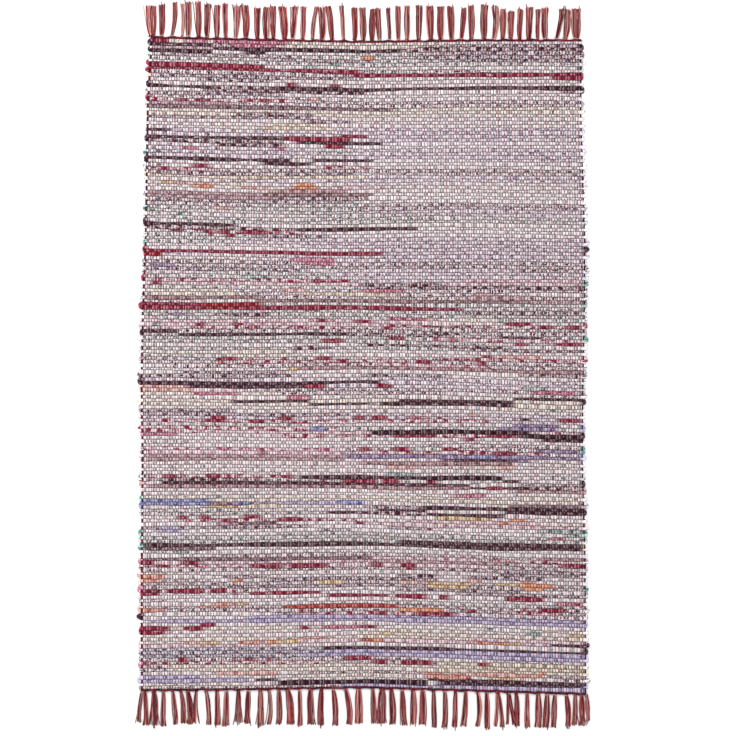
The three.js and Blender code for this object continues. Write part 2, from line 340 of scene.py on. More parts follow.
def row_shares():
    """Each station's share of the way across, for every row."""
    row = np.append(np.linspace(1, 0, STATIONS_IN_ROW), np.zeros(len(TURN_ANGLES)))
    return np.where(RUNS_LEFT, row, 1 - row)


def pick_plain_rags():
    """Pale rags for the whole weft, piece after piece: which rag and how bright, by row and station."""
    count = WEFT_ROWS * STATIONS_PER_ROW
    picked = np.zeros(count, int)
    bright = np.ones(count)
    weights = np.array([PLAIN_RAGS.get(name, 0) for name in RAG_NAMES], float)
    start = 0
    while start < count:
        end = start + dice.integers(*RAG_LENGTHS)
        picked[start:end] = dice.choice(len(RAG_NAMES), p=weights / weights.sum())
        bright[start:end] = dice.uniform(*PLAIN_BRIGHTNESS)
        start = end
    return picked.reshape(WEFT_ROWS, STATIONS_PER_ROW), bright.reshape(WEFT_ROWS, STATIONS_PER_ROW)


def lay_stripes(picked, bright):
    """Lays each charted stripe in the row nearest to its height, and lists how far off that row lies."""
    rows = np.arange(WEFT_ROWS) + 0.5
    shares = row_shares()
    start, end = picture_place(rows, 0)[0], picture_place(rows, 1)[0]
    missed = []
    for name, stripes in STRIPES.items():
        for height, left, right in stripes:
            middle = (left + right) / 2
            share = (middle - start) / (end - start)
            heights = picture_place(rows, share)[1]
            row = np.argmin(abs(heights - height))
            rows_off = (heights[row] - height) * PIXEL_MM / ROW_PITCH_MM
            missed.append((row + 0.5, share[row], right - left, rows_off))
            place = picture_place(row + 0.5, shares[row])[0]
            inside = (place > left) & (place < right)
            inside[np.argmin(abs(place - middle))] = True
            picked[row, inside] = RAG_NAMES.index(name)
            bright[row, inside] = dice.uniform(*STRIPE_BRIGHTNESS)
    return missed


def lay_turns(picked, turns, rows, share):
    """Lays the charted turns of one selvedge, each between one of these rows and the next."""
    heights = picture_place(rows + 1, share)[1]
    for name, places in turns.items():
        for place in places:
            row = rows[np.argmin(abs(heights - place))]
            picked[row, STATIONS_IN_ROW - 1:] = RAG_NAMES.index(name)
            picked[row + 1, 0] = RAG_NAMES.index(name)


grounds, dashes, specks = (linear(kind[i] for kind in RAGS.values()) for i in (0, 1, 3))
dash_shares, speck_shares, rag_breadths = (np.array([kind[i] for kind in RAGS.values()]) for i in (2, 4, 5))
dice = np.random.default_rng(DICE_SEED)
picked, bright = pick_plain_rags()
missed = lay_stripes(picked, bright)
lay_turns(picked, LEFT_TURNS, np.arange(0, WEFT_ROWS - 1, 2), 0)
lay_turns(picked, RIGHT_TURNS, np.arange(1, WEFT_ROWS - 1, 2), 1)

# The rag rows
# Each row is a soft rolled rag pressed against its neighbours, so a thick rag takes room from a thin
# one. The rag goes back and forth: it turns round the outer warp and comes back as the next row.
ROWS_IN_BAND = 16
RAG_CREST_MM = 5.0
THIN_RAG_CREST = 0.82
CREST_PER_BREADTH = 0.18
CREST_BREADTHS = (0.4, 1.4)
GROOVE_LEVEL = 0.48
# The rag's sides in each groove are darkened by a random amount towards a dark red-brown: partly the colour
# of the warps that cross there, partly painted shade.
GROOVE_SHADE = 0.28
GROOVE_WARP_AND_SHADE_COLOUR = (0.05, 0.022, 0.026)
RAG_SECTION = [(1, GROOVE_LEVEL), (0.6, 1), (-0.6, 1), (-1, GROOVE_LEVEL), (-0.55, 0), (0.55, 0)]
GIRTH_IN_HALF_ROWS = 4.6
RAG_SWAY = 0.16
SWAY_LIMITS = (0.6, 1.4)
STATIONS_IN_SWAY = 9
RAG_OVERLAP = 1.02
STRIP_END_BREADTH = 0.85
GROOVE_GIVE = 0.5
UP = np.array([0, 0, 1.0])

# The beater left the grooves a little off their line. Near a charted stripe they are drawn towards its
# height, near a long one more than near a short one, and the cloth's two ends stay where they are.
DRIFT_REACH_ROWS = 3.0
DRIFT_REACH_SHARE = 0.16
DRIFT_STIFFNESS = 20.0
HELD_ROWS = 2

# The further a turn of the rag stands out of the selvedge, the broader it is, up to a limit.
TURN_REACH_MM = 5.5
TURN_EXTRA_REACH_MM = 7.5
TURN_LEAST_HALF_MM = 1.2
TURN_HALF_PER_REACH = 0.3
TURN_MOST_HALF_MM = 3.0

# The map for the bake is cut into strips with a margin round each. The tubes' ends lie in its corner.
STRIPS_IN_ROW = 2
STRIP_SIDE_MARGIN = 0.06
STRIP_END_MARGIN = 0.002
MAP_CORNER = 0.001

# Cotton has hardly any gloss. Twists and prints show where a noise drawn out along the rag is high: it
# lies mostly within a range below its top. A fine knit is lighter and darker, and folds run lengthwise.
COTTON_SPECULAR = 0.15
TWIST_SIZE_MM = (21, 10)
PRINT_SIZE_MM = (4.2, 3.2)
NOISE_TOP = 0.75
NOISE_RANGE = 0.5
KNIT_SCALE = 900
KNIT_SHADES = (0.86, 1.1)
FOLD_SCALE = (60, 420, 420)
FOLD_STRENGTH = 0.6
FOLD_DEPTH = 0.0006


def left_to_right(values):
    """An array of rows by stations in the rag's order, turned to run from left to right without the turns."""
    plain = values[:, :STATIONS_IN_ROW]
    return np.where(RUNS_LEFT, plain[:, ::-1], plain)


def drift(missed):
    """How far each groove lies off its line, in rows, at each station from left to right."""
    rows, shares = np.arange(WEFT_ROWS + 1), np.linspace(0, 1, STATIONS_IN_ROW)
    groove, share = np.meshgrid(rows, shares, indexing="ij")
    moved = np.zeros(groove.shape)
    weight = np.full(groove.shape, DRIFT_STIFFNESS)
    for row, middle, length, rows_off in missed:
        rows_away = (groove - row) / DRIFT_REACH_ROWS
        share_away = (share - middle) / DRIFT_REACH_SHARE
        near = np.exp(-rows_away ** 2 - share_away ** 2)
        moved += near * rows_off * length
        weight += near * length
    held = np.minimum(groove, WEFT_ROWS - groove) / HELD_ROWS
    return moved / weight * np.minimum(1, held)


def row_edges(thick, drifted):
    """Where the grooves between the rows lie, in rows, from how thick each row's rag is: left to right."""
    edges = np.arange(WEFT_ROWS + 1)[:, None] + drifted
    edges[1:-1] += GROOVE_GIVE * (thick[:-1] - thick[1:])
    return edges


def rag_path(edges, crest):
    """The middle line of the whole rag on the floor, and its half breadth and height, in mm."""
    middle = (edges[:-1] + edges[1:]) / 2
    half = (edges[1:] - edges[:-1]) / 2 * ROW_PITCH_MM * RAG_OVERLAP
    laid = []
    for values in (middle, half, crest):
        turned = np.where(RUNS_LEFT, values[:, ::-1], values)
        laid.append(np.hstack([turned, np.repeat(turned[:, -1:], len(TURN_ANGLES), axis=1)]))
    across, along = weave_place(laid[0], row_shares())
    breadth, height = laid[1:]
    for row in range(WEFT_ROWS - 1):
        outward = -1 if row % 2 == 0 else 1
        turn = row // 2 if row % 2 == 0 else -((row + 1) // 2)
        reach = TURN_REACH_MM + TURN_EXTRA_REACH_MM * scatter(turn) ** 2
        squeezed = min(TURN_LEAST_HALF_MM + TURN_HALF_PER_REACH * reach, TURN_MOST_HALF_MM)
        start, end, bend = (row, STATIONS_IN_ROW - 1), (row + 1, 0), (row, slice(STATIONS_IN_ROW, None))
        across[bend] = (across[start] + across[end]) / 2 + outward * (reach - squeezed) * np.cos(TURN_ANGLES)
        along[bend] = (along[start] + along[end]) / 2 + (along[end] - along[start]) / 2 * np.sin(TURN_ANGLES)
        breadth[bend] = squeezed + (breadth[row, 0] - squeezed) * np.sin(TURN_ANGLES) ** 2
    return across, along, breadth, height


def floor_points(across, along, up):
    """An array of points from arrays in mm."""
    return np.stack(np.broadcast_arrays(across, along, up), -1) * MM


def tube_mesh(name, centres, sides, ups, section):
    """A mesh of closed tubes, from arrays of tubes by stations by 3, each the same section throughout."""
    section = np.array(section, float)
    tubes, stations = centres.shape[:2]
    around = len(section)
    rings = (centres[:, :, None] + sides[:, :, None] * section[:, 0, None]
             + ups[:, :, None] * section[:, 1, None])
    ring = np.arange(around)
    first = (np.arange(tubes)[:, None, None] * stations + np.arange(stations - 1)[:, None]) * around
    here, following = first + ring, first + (ring + 1) % around
    quads = np.stack([here, following, following + around, here + around], -1).reshape(-1, 4)
    starts = np.arange(tubes)[:, None] * stations * around + ring[::-1]
    ends = (np.arange(tubes)[:, None] + 1) * stations * around - around + ring
    mesh = bpy.data.meshes.new(name)
    mesh.from_pydata(rings.reshape(-1, 3).tolist(), [], quads.tolist() + starts.tolist() + ends.tolist())
    mesh.shade_smooth()
    return mesh


def add_map(mesh, name, corners):
    """A UV map from its corners' places, with the faces that come after them left in the map's corner."""
    flat = np.full((len(mesh.loops), 2), MAP_CORNER, np.float32)
    corners = corners.reshape(-1, 2)
    flat[:len(corners)] = corners
    mesh.uv_layers.new(name=name).uv.foreach_set("vector", flat.ravel())


def quad_places(quads, around):
    """For each face round and along a tube: how far along it is, and at which sides its corners lie."""
    quad = np.repeat(np.arange(quads), around)[:, None]
    return quad, np.tile(np.arange(around), quads)[:, None] + np.array([0, 1, 1, 0])


def strip_map(mesh, quads, around, quads_in_strip):
    """The map for the bake: the tubes cut into strips that lie side by side."""
    quad, side = quad_places(quads, around)
    strip = quad // quads_in_strip
    strips = strip[-1, 0] + 1
    along = (quad % quads_in_strip + np.array([0, 0, 1, 1])) / quads_in_strip
    upright = (strip + STRIP_SIDE_MARGIN + (1 - 2 * STRIP_SIDE_MARGIN) * side / around) / strips
    add_map(mesh, "OFBake", np.stack([STRIP_END_MARGIN + (1 - 2 * STRIP_END_MARGIN) * along, upright], -1))


def rag_maps(mesh, first_row, shares, length):
    """The maps that the rag's material reads: which warp crosses a point, and how far along the rag it is."""
    around = len(RAG_SECTION)
    quad, side = quad_places(len(shares) - 1, around)
    station = quad + np.array([0, 0, 1, 1])
    row = first_row + quad // STATIONS_PER_ROW
    add_map(mesh, "weave", np.stack([shares[station] * WARPS + row - 0.5, side / around], -1))
    girth = GIRTH_IN_HALF_ROWS * ROW_PITCH_MM / 2 * MM
    add_map(mesh, "rag", np.stack([length[station], side / around * girth], -1))


def paint(mesh, name, colours, alpha=None):
    """Colours on a mesh's points, under a name that its material reads."""
    alpha = np.ones(len(colours)) if alpha is None else alpha
    layer = mesh.color_attributes.new(name, "FLOAT_COLOR", "POINT")
    layer.data.foreach_set("color", np.column_stack([colours, alpha]).astype(np.float32).ravel())


def add_piece(name, mesh, material, stands_for):
    """A finished piece of the rug: an object at the origin that rides on the rug's one body."""
    piece = bpy.data.objects.new(name, mesh)
    bpy.context.scene.collection.objects.link(piece)
    mesh.materials.append(material)
    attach(piece, "root")
    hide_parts(stands_for)
    return piece


def node_maker(material):
    """A function that adds a node to a material, sets its values and links its inputs."""
    tree = material.node_tree

    def add(kind, values=None, inputs=None, **settings):
        node = tree.nodes.new("ShaderNode" + kind)
        for key, value in settings.items():
            setattr(node, key, value)
        for key, value in (values or {}).items():
            node.inputs[key].default_value = value
        for key, socket in (inputs or {}).items():
            tree.links.new(socket, node.inputs[key])
        return node

    return add


def new_material(name, roughness):
    """A dull material with its Principled shader, and the function that adds nodes to it."""
    material = bpy.data.materials.new(name)
    material.use_nodes = True
    shader = material.node_tree.nodes["Principled BSDF"]
    shader.inputs["Roughness"].default_value = roughness
    shader.inputs["Specular IOR Level"].default_value = COTTON_SPECULAR
    return material, shader, node_maker(material)


def rag_material():
    """Rolled print and jersey in the laid rags' colours, with twists, specks, knit, folds and pinches.
    Its sides in the grooves are darkened, partly to the warps' colour and partly as painted shade.
    """
    material, shader, add = new_material("rolled rag", roughness=0.95)
    place = add("TexCoord").outputs["Object"]
    strip = add("UVMap", uv_map="rag").outputs[0]

    def mask(share, where, size_mm, detail, softness):
        """Where a noise drawn out along the rag passes the share that its colour may cover."""
        scale = (1 / (size_mm[0] * MM), 1 / (size_mm[1] * MM), 1)
        drawn = add("VectorMath", {1: scale}, {0: where}, operation="MULTIPLY")
        noise = add("TexNoise", {"Scale": 1, "Detail": detail}, {"Vector": drawn.outputs[0]})
        least = add("Math", {1: -NOISE_RANGE, 2: NOISE_TOP}, {0: share}, operation="MULTIPLY_ADD")
        over = add("Math", {}, {0: noise.outputs["Fac"], 1: least.outputs[0]}, operation="SUBTRACT")
        return add("Math", {1: 1 / softness, 2: 0.5}, {0: over.outputs[0]}, operation="MULTIPLY_ADD",
                   use_clamp=True).outputs[0]

    ground = add("Attribute", attribute_name="ground")
    dash = add("Attribute", attribute_name="dash")
    speck = add("Attribute", attribute_name="speck")
    twisted = mask(dash.outputs["Alpha"], place, TWIST_SIZE_MM, detail=1.5, softness=0.05)
    printed = mask(speck.outputs["Alpha"], strip, PRINT_SIZE_MM, detail=0.5, softness=0.06)
    dashed = add("Mix", {}, {0: twisted, 6: ground.outputs[0], 7: dash.outputs[0]}, data_type="RGBA")
    specked = add("Mix", {}, {0: printed, 6: dashed.outputs[2], 7: speck.outputs[0]}, data_type="RGBA")
    knit = add("TexNoise", {"Scale": KNIT_SCALE, "Detail": 2}, {"Vector": place})
    worn = add("MapRange", {3: KNIT_SHADES[0], 4: KNIT_SHADES[1]}, {0: knit.outputs["Fac"]})
    shade = add("VectorMath", {}, {0: specked.outputs[2], 1: worn.outputs[0]}, operation="MULTIPLY")
    # The rag's sides in the grooves are darkened towards a dark red-brown: partly the warps' colour, partly
    # painted shade.
    painted_groove_shade = add("Attribute", attribute_name="painted_groove_shade").outputs["Fac"]
    groove_shaded = add("Mix", {7: (*GROOVE_WARP_AND_SHADE_COLOUR, 1)}, {0: painted_groove_shade, 6: shade.outputs[0]}, data_type="RGBA")
    material.node_tree.links.new(groove_shaded.outputs[2], shader.inputs["Base Color"])

    weave = add("UVMap", uv_map="weave").outputs[0]
    warp = add("SeparateXYZ", {}, {0: weave}).outputs[0]
    turn = add("Math", {1: math.pi}, {0: warp}, operation="MULTIPLY")
    pinch = add("Math", {}, {0: turn.outputs[0]}, operation="COSINE")
    puff = add("Math", {1: -0.5, 2: 0.5}, {0: pinch.outputs[0]}, operation="MULTIPLY_ADD")
    fold = add("VectorMath", {1: FOLD_SCALE}, {0: place}, operation="MULTIPLY")
    folds = add("TexNoise", {"Scale": 1, "Detail": 2}, {"Vector": fold.outputs[0]})
    relief = add("Math", {}, {0: puff.outputs[0], 1: folds.outputs["Fac"]}, operation="ADD")
    bump = add("Bump", {"Strength": FOLD_STRENGTH, "Distance": FOLD_DEPTH},
               {"Height": relief.outputs[0]})
    material.node_tree.links.new(bump.outputs[0], shader.inputs["Normal"])
    return material


rag = rag_material()
rough = dice.standard_normal((WEFT_ROWS, STATIONS_IN_ROW + STATIONS_IN_SWAY - 1))
sway = sum(rough[:, i:i + STATIONS_IN_ROW] for i in range(STATIONS_IN_SWAY)) / math.sqrt(STATIONS_IN_SWAY)
laid = left_to_right(picked)
thick = rag_breadths[laid] * np.clip(1 + RAG_SWAY * sway, *SWAY_LIMITS)
strip_end = np.zeros(laid.shape, bool)
strip_end[:, 1:] = laid[:, 1:] != laid[:, :-1]
strip_end[:, :-1] |= strip_end[:, 1:]
thick = np.where(strip_end, STRIP_END_BREADTH * thick, thick)
edges = row_edges(thick, drift(missed))
crest = RAG_CREST_MM * (THIN_RAG_CREST + CREST_PER_BREADTH * np.clip(thick, *CREST_BREADTHS))
across, along, breadth, height = (values.ravel() for values in rag_path(edges, crest))
shares = row_shares().ravel()
line = floor_points(across, along, 0.0)
length = np.append(0, np.cumsum(np.linalg.norm(np.diff(line, axis=0), axis=1)))
# A random amount of painted shade for each groove side: mostly little, now and then a dark line.
groove_shade_amounts = GROOVE_SHADE * dice.random(WEFT_ROWS * STATIONS_PER_ROW) ** 3
around = len(RAG_SECTION)
in_groove = np.array([point[1] == GROOVE_LEVEL for point in RAG_SECTION])
last_station = WEFT_ROWS * STATIONS_PER_ROW - len(TURN_ANGLES)
bands = []
for first_row in range(0, WEFT_ROWS, ROWS_IN_BAND):
    rows = min(ROWS_IN_BAND, WEFT_ROWS - first_row)
    chosen = slice(first_row * STATIONS_PER_ROW, min((first_row + rows) * STATIONS_PER_ROW + 1, last_station))
    forward = np.gradient(line[chosen], axis=0)
    forward /= np.linalg.norm(forward, axis=1, keepdims=True)
    sides = np.cross(UP, forward) * breadth[chosen, None] * MM
    ups = UP * height[chosen, None] * MM
    name = f"rag_rows_{len(bands) + 1:02d}"
    mesh = tube_mesh(name, line[None, chosen], sides[None], ups[None], RAG_SECTION)
    rag_maps(mesh, first_row, shares[chosen], length[chosen])
    strip_map(mesh, len(sides) - 1, around, STATIONS_PER_ROW // STRIPS_IN_ROW)
    each = np.repeat(np.arange(chosen.start, chosen.stop), around)
    kinds = picked.ravel()[each]
    glow = bright.ravel()[each, None]
    paint(mesh, "ground", grounds[kinds] * glow)
    paint(mesh, "dash", dashes[kinds] * glow, dash_shares[kinds])
    paint(mesh, "speck", specks[kinds], speck_shares[kinds])
    # Painted shade on the rag's sides in the grooves.
    shaded = groove_shade_amounts[chosen, None] * in_groove
    painted_groove_shade = mesh.attributes.new("painted_groove_shade", "FLOAT", "POINT")
    painted_groove_shade.data.foreach_set("value", shaded.astype(np.float32).ravel())
    bands.append((add_piece(name, mesh, rag, "rug_cloth"), first_row, rows))

# The warps
# 574 thin cotton warps in dark red, orange and beige cross the rags. A warp lies over every other rag,
# and between them it dives into the groove and goes under, so each row shows every other warp.
WARP_ORDER = ["beige", "red", "orange", "red", "beige", "red", "orange"]
YARNS = {"beige": "e0d8d8", "red": "421926", "orange": "985857"}
SELVEDGE_WARPS = 2
SELVEDGE_WARP_THICKNESS = 1.25
FLOAT_HALF_BREADTH_MM = 1.02
FLOAT_SHOULDER = 0.3
FLOAT_OVERRUN = 0.07
FLOAT_RISE_MM = 0.6
FLOAT_FACES = [(0, 1, 3, 2), (2, 3, 5, 4), (4, 5, 7, 6), (0, 6, 7, 1), (0, 2, 4, 6), (1, 7, 5, 3)]
POINTS_IN_FLOAT = 8
GROOVE_HEIGHT_MM = 2.8

# No two crossings are alike: a warp is shifted, thinned and worn by a scatter that is read at a seed
# for each warp and each row. A float also takes on some of its rag's colour, partly as the rag's
# fibres over it and partly as painted shade, so a float over a dark rag is darker.
WARP_SHIFT = 0.26
SHIFT_SEED = (1, 3.1)
LEAST_THICKNESS = 0.83
EXTRA_THICKNESS = 0.34
THICKNESS_SEED = (1.7, 1)
LEAST_BRIGHTNESS = 0.85
EXTRA_BRIGHTNESS = 0.3
BRIGHTNESS_SEED = (0.37, 2.9)
RAG_TINT_AND_SHADE = 0.68
PLY_SCALE = 260
PLY_SHADES = (0.72, 1.12)


def at_share(values, row, share):
    """The value at a share of the way across from an array of rows by stations, left to right."""
    place = share * (STATIONS_IN_ROW - 1)
    station = np.minimum(place.astype(int), STATIONS_IN_ROW - 2)
    between = place - station
    return values[row, station] * (1 - between) + values[row, station + 1] * between


def crossing_scatter(warp, row, seed):
    """A fixed scatter from 0 to 1 for each crossing of a warp and a row."""
    return scatter(seed[0] * warp + seed[1] * row)


def float_mesh(name, first_row, rows):
    """The floats of the warps over one band's rows, each a small closed bridge of eight points."""
    row, warp = np.meshgrid(np.arange(first_row, first_row + rows), np.arange(WARPS), indexing="ij")
    outer = np.minimum(warp, WARPS - 1 - warp) < SELVEDGE_WARPS
    over = (row + np.where(outer, 0, warp)) % 2 == 0
    row, warp, outer = row[over], warp[over], outer[over]
    share = (warp + 0.5 + WARP_SHIFT * (crossing_scatter(warp, row, SHIFT_SEED) - 0.5)) / WARPS
    thick = LEAST_THICKNESS + EXTRA_THICKNESS * crossing_scatter(warp, row, THICKNESS_SEED)
    half = FLOAT_HALF_BREADTH_MM * (np.where(outer, SELVEDGE_WARP_THICKNESS, 1.0) * thick)
    near_edge, far_edge = at_share(edges, row, share), at_share(edges, row + 1, share)
    rag_top = at_share(crest, row, share)
    points = []
    for part in (-FLOAT_OVERRUN, 0.5 - FLOAT_SHOULDER, 0.5 + FLOAT_SHOULDER, 1 + FLOAT_OVERRUN):
        across, along = weave_place(near_edge + part * (far_edge - near_edge), share)
        height = rag_top + FLOAT_RISE_MM if 0 < part < 1 else GROOVE_HEIGHT_MM
        for side in (-1, 1):
            points.append(floor_points(across + side * half, along, height))
    corners = np.stack(points, 1).reshape(-1, 3)
    faces = POINTS_IN_FLOAT * np.arange(len(row))[:, None, None] + np.array(FLOAT_FACES)
    mesh = bpy.data.meshes.new(name)
    mesh.from_pydata(corners.tolist(), [], faces.reshape(-1, 4).tolist())
    mesh.shade_smooth()
    order = linear(YARNS[kind] for kind in WARP_ORDER)
    colour = np.where(outer[:, None], linear([YARNS["red"]]), order[warp % len(WARP_ORDER)])
    # Painted shade and tint: a float is multiplied by part of the colour of the rag under it.
    under = grounds[laid[row, np.rint(share * (STATIONS_IN_ROW - 1)).astype(int)]]
    worn = LEAST_BRIGHTNESS + EXTRA_BRIGHTNESS * crossing_scatter(warp, row, BRIGHTNESS_SEED)
    colour = colour * worn[:, None] * (1 - RAG_TINT_AND_SHADE + RAG_TINT_AND_SHADE * under)
    paint(mesh, "yarn", np.repeat(colour, POINTS_IN_FLOAT, axis=0))
    return mesh


def yarn_material():
    """Two-ply cotton yarn, coloured by the warp that it is."""
    material, shader, add = new_material("cotton yarn", roughness=0.9)
    place = add("TexCoord").outputs["Object"]
    colour = add("Attribute", attribute_name="yarn").outputs["Color"]
    ply = add("TexWave", {"Scale": PLY_SCALE, "Distortion": 2, "Detail": 1}, {"Vector": place},
              bands_direction="DIAGONAL")
    lit = add("MapRange", {3: PLY_SHADES[0], 4: PLY_SHADES[1]}, {0: ply.outputs["Fac"]})
    shade = add("VectorMath", {}, {0: colour, 1: lit.outputs[0]}, operation="MULTIPLY")
    material.node_tree.links.new(shade.outputs[0], shader.inputs["Base Color"])
    return material


yarn = yarn_material()
for number, (band, first_row, rows) in enumerate(bands, 1):
    mesh = float_mesh(f"warp_floats_{number:02d}", first_row, rows)
    warps = add_piece(mesh.name, mesh, yarn, "rug_cloth")

# The headings
# Dark red and near-black cords are twined round each other and through the warps along each end of the
# cloth, and hold its last row. They are pieced together from short lengths of yarn.
HEADING_YARNS = ("7d1d2f", "5e1a2c", "34151f", "4a2230", "8c4a56")
HEADING_YARN_SHARES = (0.34, 0.28, 0.16, 0.14, 0.08)
HEADING_TURN_MM = 8.3
STATIONS_IN_TURN = 6
STATIONS_IN_LENGTH = 9
HEADING_REACH_MM = 2.7
HEADING_SWAY_MM = 1.7
HEADING_SWAYS = (151, 37)
HEADING_MIDDLE_MM = 3.5
TWIST_RADIUS_MM = 1.6
CORD_RADIUS_MM = 1.9
STRIPS_IN_CORD = 8
ROUND_SECTION = [(1, 0), (0, 1), (-1, 0), (0, -1)]


def add_yarns(name, lines, radius, quads_in_strip, shades, stands_for):
    """Round yarns as one piece, from an array of yarns by stations by 3 and a shade for each station."""
    forward = np.gradient(lines, axis=1)
    forward /= np.linalg.norm(forward, axis=2, keepdims=True)
    side = np.cross(UP, forward)
    side /= np.linalg.norm(side, axis=2, keepdims=True)
    up = np.cross(forward, side)
    mesh = tube_mesh(name, lines, side * radius, up * radius, ROUND_SECTION)
    yarns, stations = lines.shape[:2]
    around = len(ROUND_SECTION)
    strip_map(mesh, yarns * (stations - 1), around, quads_in_strip)
    paint(mesh, "yarn", np.repeat(shades, around, axis=0))
    add_piece(name, mesh, yarn, stands_for)


def heading(name, row, outward, stands_for):
    """The two twined cords along one end of the cloth."""
    left, right = weave_place(row, 0)[0], weave_place(row, 1)[0]
    stations = int((right - left) / HEADING_TURN_MM * STATIONS_IN_TURN)
    share = np.linspace(0, 1, stations)
    angle = 2 * np.pi * share * (right - left) / HEADING_TURN_MM
    across, along = weave_place(row, share)
    sway = HEADING_SWAY_MM * np.sin(HEADING_SWAYS[0] * share) * np.sin(HEADING_SWAYS[1] * share)
    lines = []
    for phase in (0, np.pi):
        off = HEADING_REACH_MM + sway + TWIST_RADIUS_MM * np.cos(angle + phase)
        up = HEADING_MIDDLE_MM + TWIST_RADIUS_MM * np.sin(angle + phase)
        lines.append(floor_points(across, along + outward * off, up))
    lengths = 2 * stations // STATIONS_IN_LENGTH + 1
    chosen = dice.choice(len(HEADING_YARNS), lengths, p=HEADING_YARN_SHARES)
    shades = np.repeat(linear(HEADING_YARNS)[chosen], STATIONS_IN_LENGTH, axis=0)[:2 * stations]
    quads_in_strip = (stations - 1) // STRIPS_IN_CORD
    add_yarns(name, np.array(lines), CORD_RADIUS_MM * MM, quads_in_strip, shades, stands_for)


heading("near_heading", 0, -1, "near_fringe")
heading("far_heading", WEFT_ROWS, 1, "far_fringe")

# The fringe
# Past the heading the warps' own ends are drawn together in tufts, knotted, and left to splay. They
# lie on the floor, bend one way and the other, and were trimmed unevenly.
# The fringe's beige is darker and redder than the warps' beige in the cloth, partly as painted shade between
# the piled yarns.
FRINGE_YARNS = {"beige": "c58f86", "red": "6e1b28", "orange": "a6504e"}
DULLEST_YARN = 0.4
YARN_BRIGHTNESS_RANGE = 1.15
YARN_RADIUS_MM = 1.05
YARN_LAYERS = 3
LAYER_STEP_MM = 1.35
YARN_SHIFT = 0.2
YARN_CURL_MM = 1.2
YARN_CURL_TURN = 7
TIP_SCATTER_MM = 5
LONG_YARN_MM = 7
LONG_YARN_SHARE = 0.05
STRAY_MM = 7
STRAY_SHARE = 0.04
YARNS_IN_STRIP = 10

# A yarn from root to tip: the share of its length, the share of its tuft's breadth that it keeps to,
# and how high the layers are piled.
YARN_SHAPE = [
    (0.0, 0.52, 1.0), (0.06, 0.5, 1.1), (0.14, 0.72, 1.0), (0.28, 0.9, 0.8),
    (0.46, 0.97, 0.6), (0.65, 1.0, 0.5), (0.83, 1.0, 0.4), (1.0, 1.04, 0.3),
]

# A knot is a short arch over the root of its tuft, set slantwise.
KNOT_YARNS = ("7d3a3c", "5c1a26", "c9a3a0", "6e1d29", "9a6664")
KNOT_STATIONS = 8
KNOT_REACH_MM = 5
KNOT_SLANT_MM = 2.2
KNOT_RADIUS_MM = 1.2
KNOT_HEIGHT_MM = 4.6
KNOT_BREADTH_SHARE = 0.6

# The tufts were read off the photograph, from left to right, in pixels: where a tuft starts
# across the picture, where it passes halfway, where it ends, how broad it is and the height of its tip.
FAR_TUFTS = [
    (152, 151, 151, 11, 5), (161.5, 162, 162, 6.5, 4), (171.5, 174.5, 175, 5, 1.5), (182, 183, 182.5, 3.5, 3),
    (188, 188.5, 188, 6.5, 1), (198.5, 198.5, 198, 6.5, 1), (207, 207, 208, 6.5, 3), (217, 217, 217, 6.5, 4),
    (225.5, 225, 225, 5.5, 3), (235.5, 236.5, 236.5, 6.5, 4.5), (245.5, 246, 245, 7, 4.5),
    (257.5, 257, 257.5, 6.5, 7), (266.5, 266.5, 267, 7.5, 6.5), (273.5, 273, 273.5, 5.5, 5.5),
    (284.5, 284, 282, 8, 6), (292.5, 294, 295.5, 6, 5.5), (302.5, 303, 303.5, 5.5, 6),
    (312.5, 313.5, 316.5, 4.5, 6), (322, 322.5, 321.5, 7, 6.5), (332, 330.5, 328, 6, 5.5),
    (343.5, 342.5, 341.5, 4.5, 5), (354.5, 355, 354, 6, 7), (363, 363, 362, 6.5, 7), (372, 372, 373, 6, 8),
    (379.5, 378.5, 377.5, 6, 7.5), (389.5, 389, 388, 4, 7), (398, 398, 397.5, 5.5, 5.5),
    (407, 407, 407, 5.5, 5), (418.5, 419, 419, 6.5, 4.5), (430.5, 430, 429.5, 8, 5),
    (440.5, 440.5, 440.5, 7, 5.5), (451.5, 451, 450.5, 7, 5.5), (461, 463, 464, 5, 6.5),
    (471, 471.5, 471, 6.5, 5), (484, 484, 484.5, 7.5, 4), (493.5, 496, 495.5, 6, 5),
    (502.5, 503, 503, 5.5, 8), (510.5, 511, 511, 6.5, 10), (519.5, 519.5, 520.5, 5.5, 8),
    (528.5, 529, 529.5, 7, 6.5), (537.5, 537.5, 538, 4.5, 8.5), (545, 544.5, 545, 7, 7),
    (556, 560, 561.5, 5, 8), (565, 567, 567.5, 6.5, 8.5), (576, 576, 576, 9, 8),
]
